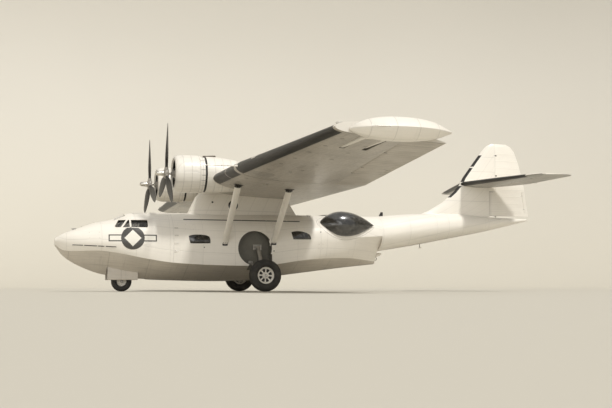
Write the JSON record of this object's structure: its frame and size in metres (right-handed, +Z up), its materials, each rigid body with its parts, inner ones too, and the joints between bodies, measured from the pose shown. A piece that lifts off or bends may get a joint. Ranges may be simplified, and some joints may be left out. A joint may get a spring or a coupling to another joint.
{
  "type": "twin-engine amphibious flying boat",
  "caption": "Parasol-wing amphibious flying boat with two radial engines, waist blisters, folding tip floats and wheels.",
  "frame": {"origin": "on the ground below the middle of the aircraft's length and span", "axes": "+Z up, +X to port along the wing, the nose points along -Y"},
  "size_m": [31.7006, 19.47, 6.15],
  "materials": {
    "hull_paint": "cream gloss paint, grey below the chine",
    "wing_paint": "cream gloss paint, grey underneath",
    "doped_fabric": "doped and painted fabric over ribs",
    "black_paint": "matt black paint",
    "glazing": "clear sheet",
    "seat_leather": "worn brown leather",
    "gear_steel": "painted and bare steel",
    "engine_alloy": "cast alloy",
    "tyre_rubber": "black rubber",
    "wheel_paint": "cream paint on cast wheel"
  },
  "bodies": {
    "airframe": {"hull_bow": "hull_paint", "hull_centre": "hull_paint", "hull_waist": "hull_paint", "hull_tail": "hull_paint", "cockpit_glazing": "glazing", "instrument_panel": "black_paint", "pilot_seat": "seat_leather", "copilot_seat": "seat_leather", "blister_port": "glazing", "blister_starboard": "glazing", "pylon": "hull_paint", "wing_centre": "wing_paint", "wing_outer_port": "wing_paint", "wing_outer_starboard": "wing_paint", "fin": "wing_paint", "tailplane_port": "wing_paint", "tailplane_starboard": "wing_paint", "strut_front_port": "wing_paint", "strut_rear_port": "wing_paint", "strut_front_starboard": "wing_paint", "strut_rear_starboard": "wing_paint", "nacelle_port": "wing_paint", "nacelle_starboard": "wing_paint", "cowling_port": "wing_paint", "cowling_starboard": "wing_paint", "engine_port": "engine_alloy", "engine_starboard": "engine_alloy", "main_leg_port": "gear_steel", "main_leg_starboard": "gear_steel", "nose_leg": "gear_steel", "nose_door_port": "hull_paint", "nose_door_starboard": "hull_paint"},
    "aileron_port_body": {"aileron_port": "doped_fabric"},
    "aileron_starboard_body": {"aileron_starboard": "doped_fabric"},
    "float_port_body": {"float_port": "hull_paint", "float_frame_port": "gear_steel"},
    "float_starboard_body": {"float_starboard": "hull_paint", "float_frame_starboard": "gear_steel"},
    "rudder_body": {"rudder": "doped_fabric"},
    "elevator_body": {"elevator_port": "doped_fabric", "elevator_starboard": "doped_fabric"},
    "propeller_port_body": {"propeller_port": "black_paint"},
    "propeller_starboard_body": {"propeller_starboard": "black_paint"},
    "main_port_wheel_body": {"main_port_tyre": "tyre_rubber", "main_port_wheel": "wheel_paint"},
    "main_starboard_wheel_body": {"main_starboard_tyre": "tyre_rubber", "main_starboard_wheel": "wheel_paint"},
    "nose_fork_body": {"nose_fork": "gear_steel"},
    "nose_wheel_body": {"nose_tyre": "tyre_rubber", "nose_wheel": "wheel_paint"}
  },
  "joints": [
    {"name": "propeller_port_spin", "type": "hinge", "parent": "airframe", "child": "propeller_port_body", "pos_m": [2.13, -5.935, 4.27], "axis": [0, 1, 0], "continuous": true},
    {"name": "propeller_starboard_spin", "type": "hinge", "parent": "airframe", "child": "propeller_starboard_body", "pos_m": [-2.13, -5.935, 4.27], "axis": [0, 1, 0], "continuous": true},
    {"name": "main_port_wheel_spin", "type": "hinge", "parent": "airframe", "child": "main_port_wheel_body", "pos_m": [2.15, -2.235, 0.595], "axis": [1, 0, 0], "continuous": true},
    {"name": "main_starboard_wheel_spin", "type": "hinge", "parent": "airframe", "child": "main_starboard_wheel_body", "pos_m": [-2.15, -2.235, 0.595], "axis": [1, 0, 0], "continuous": true},
    {"name": "nose_swivel", "type": "hinge", "parent": "airframe", "child": "nose_fork_body", "pos_m": [0, -7.335, 0.38], "axis": [0, 0, 1], "range_deg": [-30, 30]},
    {"name": "nose_wheel_spin", "type": "hinge", "parent": "nose_fork_body", "child": "nose_wheel_body", "pos_m": [0, -7.255, 0.38], "axis": [1, 0, 0], "continuous": true},
    {"name": "rudder_turn", "type": "hinge", "parent": "airframe", "child": "rudder_body", "pos_m": [0, 8.215, 3.13], "axis": [0, 0, 1], "range_deg": [-22, 22]},
    {"name": "elevator_turn", "type": "hinge", "parent": "airframe", "child": "elevator_body", "pos_m": [0, 8.015, 4.43], "axis": [1, 0, 0], "range_deg": [-20, 30]},
    {"name": "aileron_port_turn", "type": "hinge", "parent": "airframe", "child": "aileron_port_body", "pos_m": [9, -1.12413, 3.87406], "axis": [0.9947, -0.098, 0.0297], "range_deg": [-20, 20]},
    {"name": "aileron_starboard_turn", "type": "hinge", "parent": "airframe", "child": "aileron_starboard_body", "pos_m": [-9, -1.12413, 3.87406], "axis": [0.9947, 0.098, -0.0297], "range_deg": [-20, 20]},
    {"name": "float_port_fold", "type": "hinge", "parent": "airframe", "child": "float_port_body", "pos_m": [13.1, -2.855, 3.995], "axis": [0, 1, 0], "range_deg": [0, 90]},
    {"name": "float_starboard_fold", "type": "hinge", "parent": "airframe", "child": "float_starboard_body", "pos_m": [-13.1, -2.855, 3.995], "axis": [0, -1, 0], "range_deg": [0, 90]}
  ],
  "couplings": [
    {"joint": "aileron_starboard_turn", "follows": "aileron_port_turn", "ratio": -1},
    {"joint": "float_starboard_fold", "follows": "float_port_fold", "ratio": 1}
  ]
}
